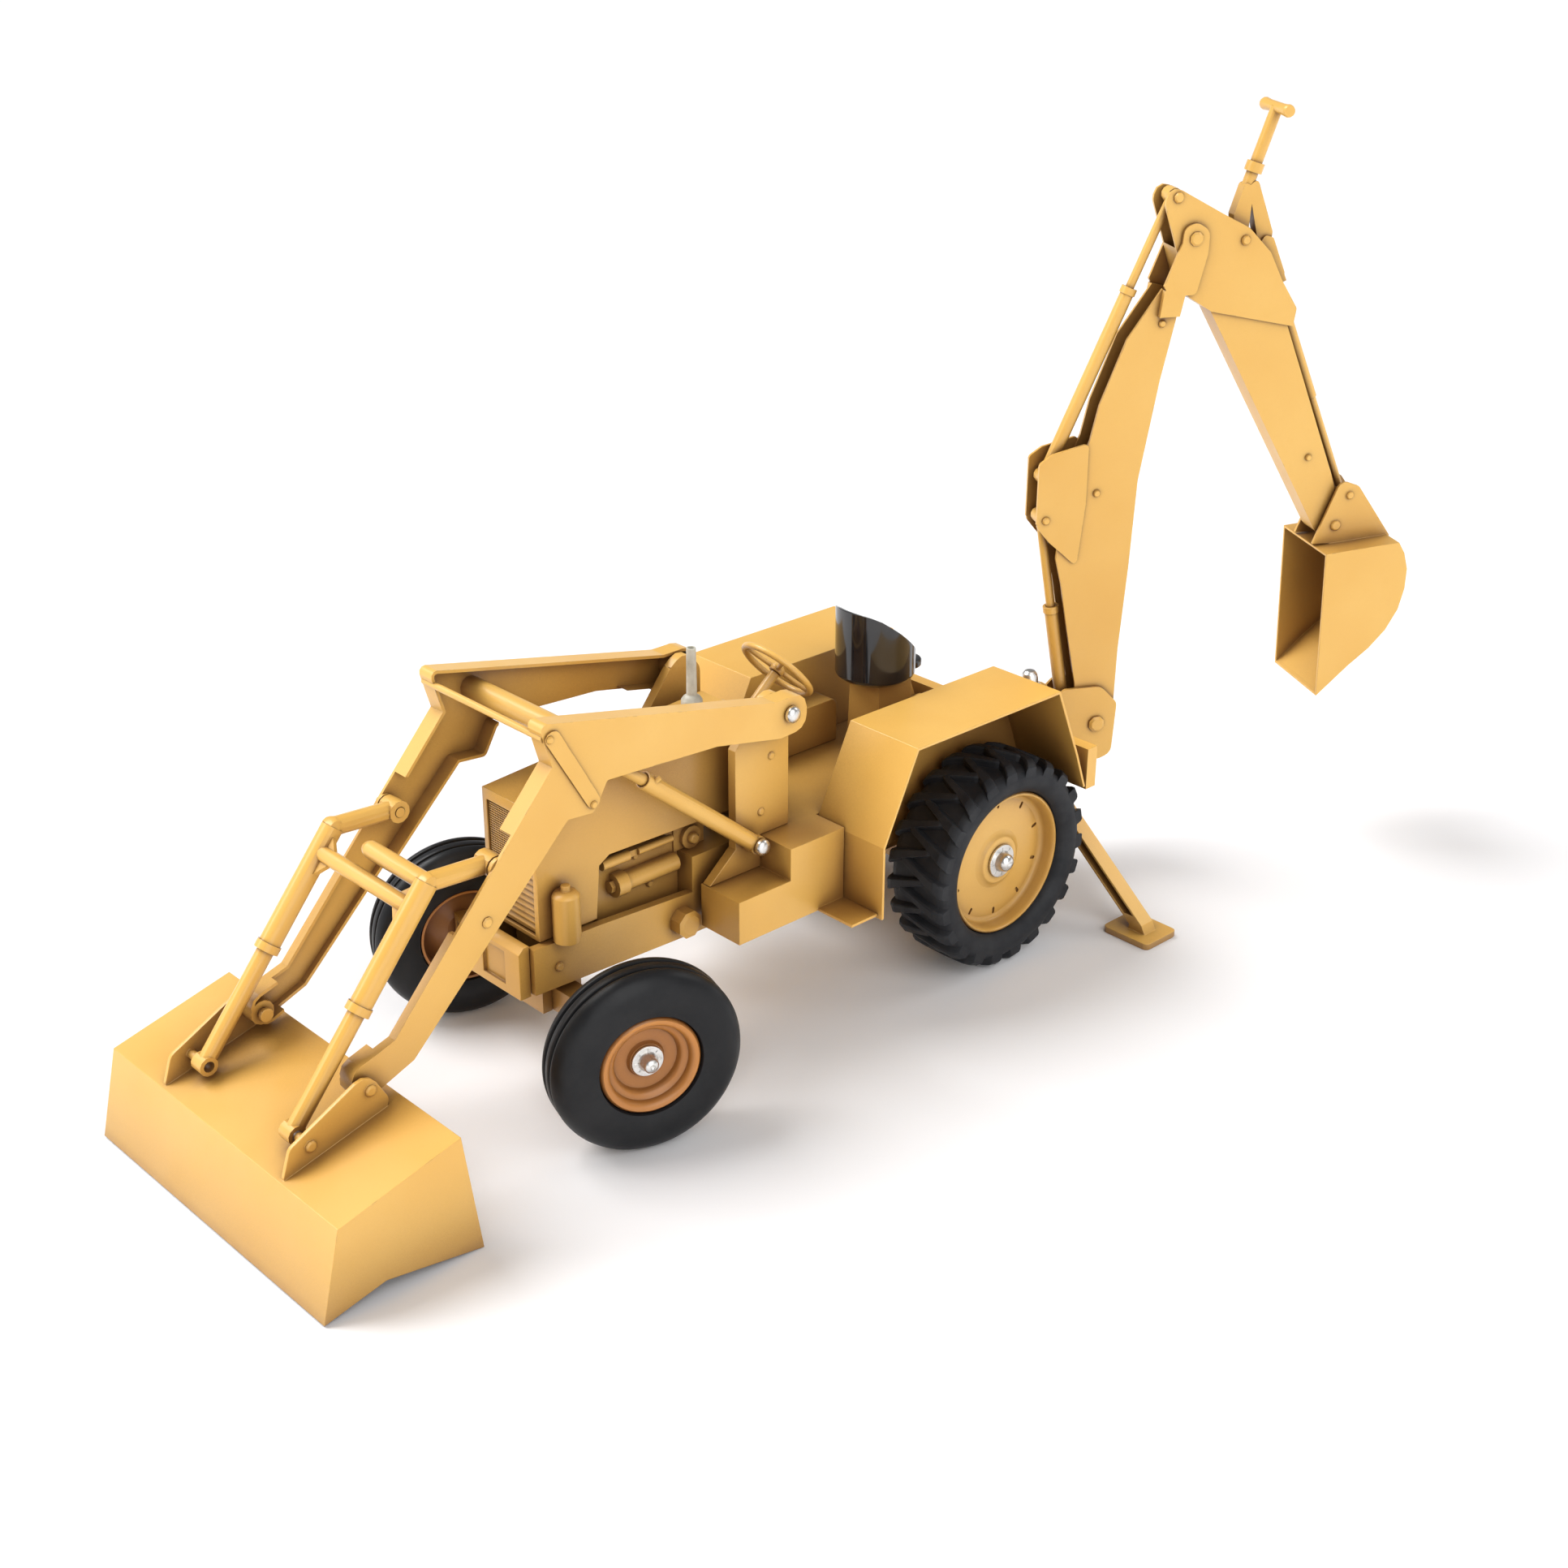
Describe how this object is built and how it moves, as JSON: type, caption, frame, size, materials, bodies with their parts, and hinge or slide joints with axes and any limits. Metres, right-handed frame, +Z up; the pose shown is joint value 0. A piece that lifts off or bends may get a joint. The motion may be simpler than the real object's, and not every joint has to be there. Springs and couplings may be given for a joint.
{
  "type": "toy backhoe loader",
  "caption": "Toy tractor with a front loader, a jointed backhoe on a swing post, two fold-down stabilisers, steered front wheels and a swivel seat.",
  "frame": {"origin": "centre of the bounding box's footprint, on the floor the toy stands on", "axes": "+X to the tractor's left, +Y to its back, +Z up"},
  "size_m": [0.2572, 0.7624, 0.437],
  "materials": {
    "paint": "gloss construction-yellow enamel, slightly worn",
    "rim_paint": "orange-yellow enamel",
    "tyre": "matt black rubber",
    "silver": "bright plated steel",
    "seat": "glossy black",
    "stack": "pale grey"
  },
  "bodies": {
    "chassis": {"chassis_frame": "paint", "front_weight": "paint", "hood": "paint", "grille": "paint", "engine_block": "paint", "exhaust_stack": "stack", "cab_platform": "paint", "dash": "paint", "side_console": "paint", "seat_pedestal": "paint", "rear_frame": "paint", "swing_pin": "silver", "tower_l": "paint", "tower_r": "paint", "fender_l": "paint", "fender_r": "paint", "lift_pivot_cap_l": "silver", "lift_pivot_cap_r": "silver", "lift_base_cap_l": "silver", "lift_base_cap_r": "silver"},
    "front_axle": {"front_axle": "paint"},
    "tie_rod": {"tie_rod": "paint"},
    "knuckle_l": {"knuckle_l": "paint"},
    "knuckle_r": {"knuckle_r": "paint"},
    "front_wheel_l": {"front_rim_l": "rim_paint", "front_tyre_l": "tyre", "front_hub_l": "silver"},
    "front_wheel_r": {"front_rim_r": "rim_paint", "front_tyre_r": "tyre", "front_hub_r": "silver"},
    "rear_wheel_l": {"rear_rim_l": "paint", "rear_tyre_l": "tyre", "rear_nut_l": "silver"},
    "rear_wheel_r": {"rear_rim_r": "paint", "rear_tyre_r": "tyre", "rear_nut_r": "silver"},
    "steering_wheel": {"steering_wheel": "paint"},
    "seat": {"seat": "seat"},
    "loader_arms": {"loader_arms": "paint"},
    "lift_barrels": {"lift_barrel_l": "paint", "lift_barrel_r": "paint"},
    "lift_rods": {"lift_rod_l": "paint", "lift_rod_r": "paint"},
    "tilt_frame": {"tilt_frame": "paint"},
    "tilt_rods": {"tilt_rod_l": "paint", "tilt_rod_r": "paint"},
    "loader_bucket": {"loader_bucket": "paint"},
    "swing_frame": {"swing_frame": "paint"},
    "boom": {"boom": "paint"},
    "boom_barrel": {"boom_barrel": "paint"},
    "boom_rod": {"boom_rod": "paint"},
    "stick": {"stick": "paint"},
    "stick_barrel": {"stick_barrel": "paint"},
    "stick_rod": {"stick_rod": "paint"},
    "bucket_lever": {"bucket_lever": "paint"},
    "bucket_link": {"bucket_link": "paint"},
    "rear_bucket": {"rear_bucket": "paint"},
    "stabiliser_l": {"stabiliser_l": "paint"},
    "stabiliser_r": {"stabiliser_r": "paint"}
  },
  "joints": [
    {"name": "axle_tilt", "type": "hinge", "parent": "chassis", "child": "front_axle", "pos_m": [0, -0.1846, 0.0505], "axis": [0, 1, 0], "range_deg": [-5, 5]},
    {"name": "steer_l", "type": "hinge", "parent": "front_axle", "child": "knuckle_l", "pos_m": [0.0633, -0.1846, 0.04825], "axis": [0, 0, 1], "range_deg": [-12, 47]},
    {"name": "front_wheel_l_spin", "type": "hinge", "parent": "knuckle_l", "child": "front_wheel_l", "pos_m": [0.09188, -0.19372, 0.04825], "axis": [0.9527, -0.304, 0], "continuous": true},
    {"name": "rear_wheel_l_spin", "type": "hinge", "parent": "chassis", "child": "rear_wheel_l", "pos_m": [0.065, 0.0673, 0.06], "axis": [1, 0, 0], "continuous": true},
    {"name": "steer_r", "type": "hinge", "parent": "front_axle", "child": "knuckle_r", "pos_m": [-0.0633, -0.1846, 0.04825], "axis": [0, 0, 1], "range_deg": [-12, 47]},
    {"name": "front_wheel_r_spin", "type": "hinge", "parent": "knuckle_r", "child": "front_wheel_r", "pos_m": [-0.09188, -0.17548, 0.04825], "axis": [0.9527, -0.304, 0], "continuous": true},
    {"name": "rear_wheel_r_spin", "type": "hinge", "parent": "chassis", "child": "rear_wheel_r", "pos_m": [-0.065, 0.0673, 0.06], "axis": [1, 0, 0], "continuous": true},
    {"name": "tie_rod_slide", "type": "slide", "parent": "front_axle", "child": "tie_rod", "axis": [1, 0, 0], "range_m": [-0.0112, 0.003]},
    {"name": "steering_wheel_turn", "type": "hinge", "parent": "chassis", "child": "steering_wheel", "pos_m": [0, -0.0287, 0.176], "axis": [0, 0.7659, 0.6429], "continuous": true},
    {"name": "seat_swivel", "type": "hinge", "parent": "chassis", "child": "seat", "pos_m": [0, 0.0473, 0.152], "axis": [0, 0, 1], "range_deg": [-180, 180]},
    {"name": "loader_lift", "type": "hinge", "parent": "chassis", "child": "loader_arms", "pos_m": [0, -0.0637, 0.1765], "axis": [-1, 0, 0], "range_deg": [0, 50]},
    {"name": "lift_barrel_turn", "type": "hinge", "parent": "chassis", "child": "lift_barrels", "pos_m": [0, -0.0827, 0.109], "axis": [-1, 0, 0], "range_deg": [0, 35.51]},
    {"name": "lift_rod_slide", "type": "slide", "parent": "lift_barrels", "child": "lift_rods", "axis": [0, -0.7754, 0.6315], "range_m": [0, 0.0478]},
    {"name": "loader_bucket_roll", "type": "hinge", "parent": "loader_arms", "child": "loader_bucket", "pos_m": [0, -0.322, 0.0725], "axis": [-1, 0, 0], "range_deg": [0, 75]},
    {"name": "tilt_frame_turn", "type": "hinge", "parent": "loader_arms", "child": "tilt_frame", "pos_m": [0, -0.2417, 0.152], "axis": [-1, 0, 0], "range_deg": [0, 11.79]},
    {"name": "tilt_rod_slide", "type": "slide", "parent": "tilt_frame", "child": "tilt_rods", "axis": [0, -0.6317, -0.7752], "range_m": [-0.02964, 0]},
    {"name": "backhoe_swing", "type": "hinge", "parent": "chassis", "child": "swing_frame", "pos_m": [0, 0.1723, 0.086], "axis": [0, 0, 1], "range_deg": [-49, 105]},
    {"name": "boom_lower", "type": "hinge", "parent": "swing_frame", "child": "boom", "pos_m": [0.01831, 0.20674, 0.086], "axis": [-0.8829, 0.4695, 0], "range_deg": [0, 45]},
    {"name": "boom_barrel_turn", "type": "hinge", "parent": "swing_frame", "child": "boom_barrel", "pos_m": [0.00986, 0.19084, 0.098], "axis": [-0.8829, 0.4695, 0], "range_deg": [0, 48.07]},
    {"name": "boom_rod_slide", "type": "slide", "parent": "boom_barrel", "child": "boom_rod", "axis": [-0.0798, -0.15, 0.9855], "range_m": [0, 0.01493]},
    {"name": "stick_reach", "type": "hinge", "parent": "boom", "child": "stick", "pos_m": [0.03671, 0.24135, 0.368], "axis": [0.8829, -0.4695, 0], "range_deg": [0, 55]},
    {"name": "stick_barrel_turn", "type": "hinge", "parent": "boom", "child": "stick_barrel", "pos_m": [0.00094, 0.17407, 0.237], "axis": [0.8829, -0.4695, 0], "range_deg": [0, 2.82]},
    {"name": "stick_rod_slide", "type": "slide", "parent": "stick_barrel", "child": "stick_rod", "axis": [0.1836, 0.3452, 0.9204], "range_m": [-0.02209, 0]},
    {"name": "rear_bucket_curl", "type": "hinge", "parent": "stick", "child": "rear_bucket", "pos_m": [0.08469, 0.33158, 0.1973], "axis": [0.8829, -0.4695, 0], "range_deg": [-12, 28]},
    {"name": "bucket_lever_turn", "type": "hinge", "parent": "stick", "child": "bucket_lever", "pos_m": [0.05089, 0.26801, 0.3654], "axis": [0.8829, -0.4695, 0], "range_deg": [-9.91, 22.86]},
    {"name": "bucket_link_turn", "type": "hinge", "parent": "bucket_lever", "child": "bucket_link", "pos_m": [0.05821, 0.28179, 0.362], "axis": [0.8829, -0.4695, 0], "range_deg": [-26.55, 11.49]},
    {"name": "stabiliser_l_fold", "type": "hinge", "parent": "chassis", "child": "stabiliser_l", "pos_m": [0.032, 0.1463, 0.075], "axis": [0, -1, 0], "range_deg": [0, 60]},
    {"name": "stabiliser_r_fold", "type": "hinge", "parent": "chassis", "child": "stabiliser_r", "pos_m": [-0.032, 0.1463, 0.075], "axis": [0, 1, 0], "range_deg": [0, 60]}
  ],
  "couplings": [
    {"joint": "steer_r", "follows": "steer_l", "ratio": 1},
    {"joint": "tie_rod_slide", "follows": "steer_l", "m_per_rad": -0.01339},
    {"joint": "lift_barrel_turn", "follows": "loader_lift", "ratio": 0.70622},
    {"joint": "lift_rod_slide", "follows": "loader_lift", "m_per_rad": 0.054205},
    {"joint": "tilt_frame_turn", "follows": "loader_bucket_roll", "ratio": 0.15455},
    {"joint": "tilt_rod_slide", "follows": "loader_bucket_roll", "m_per_rad": -0.022263},
    {"joint": "boom_barrel_turn", "follows": "boom_lower", "ratio": 1.0639},
    {"joint": "boom_rod_slide", "follows": "boom_lower", "m_per_rad": 0.018377},
    {"joint": "stick_barrel_turn", "follows": "stick_reach", "ratio": 0.047569},
    {"joint": "stick_rod_slide", "follows": "stick_reach", "m_per_rad": -0.022496},
    {"joint": "bucket_lever_turn", "follows": "rear_bucket_curl", "ratio": 0.80936},
    {"joint": "bucket_link_turn", "follows": "rear_bucket_curl", "ratio": -0.94097}
  ]
}
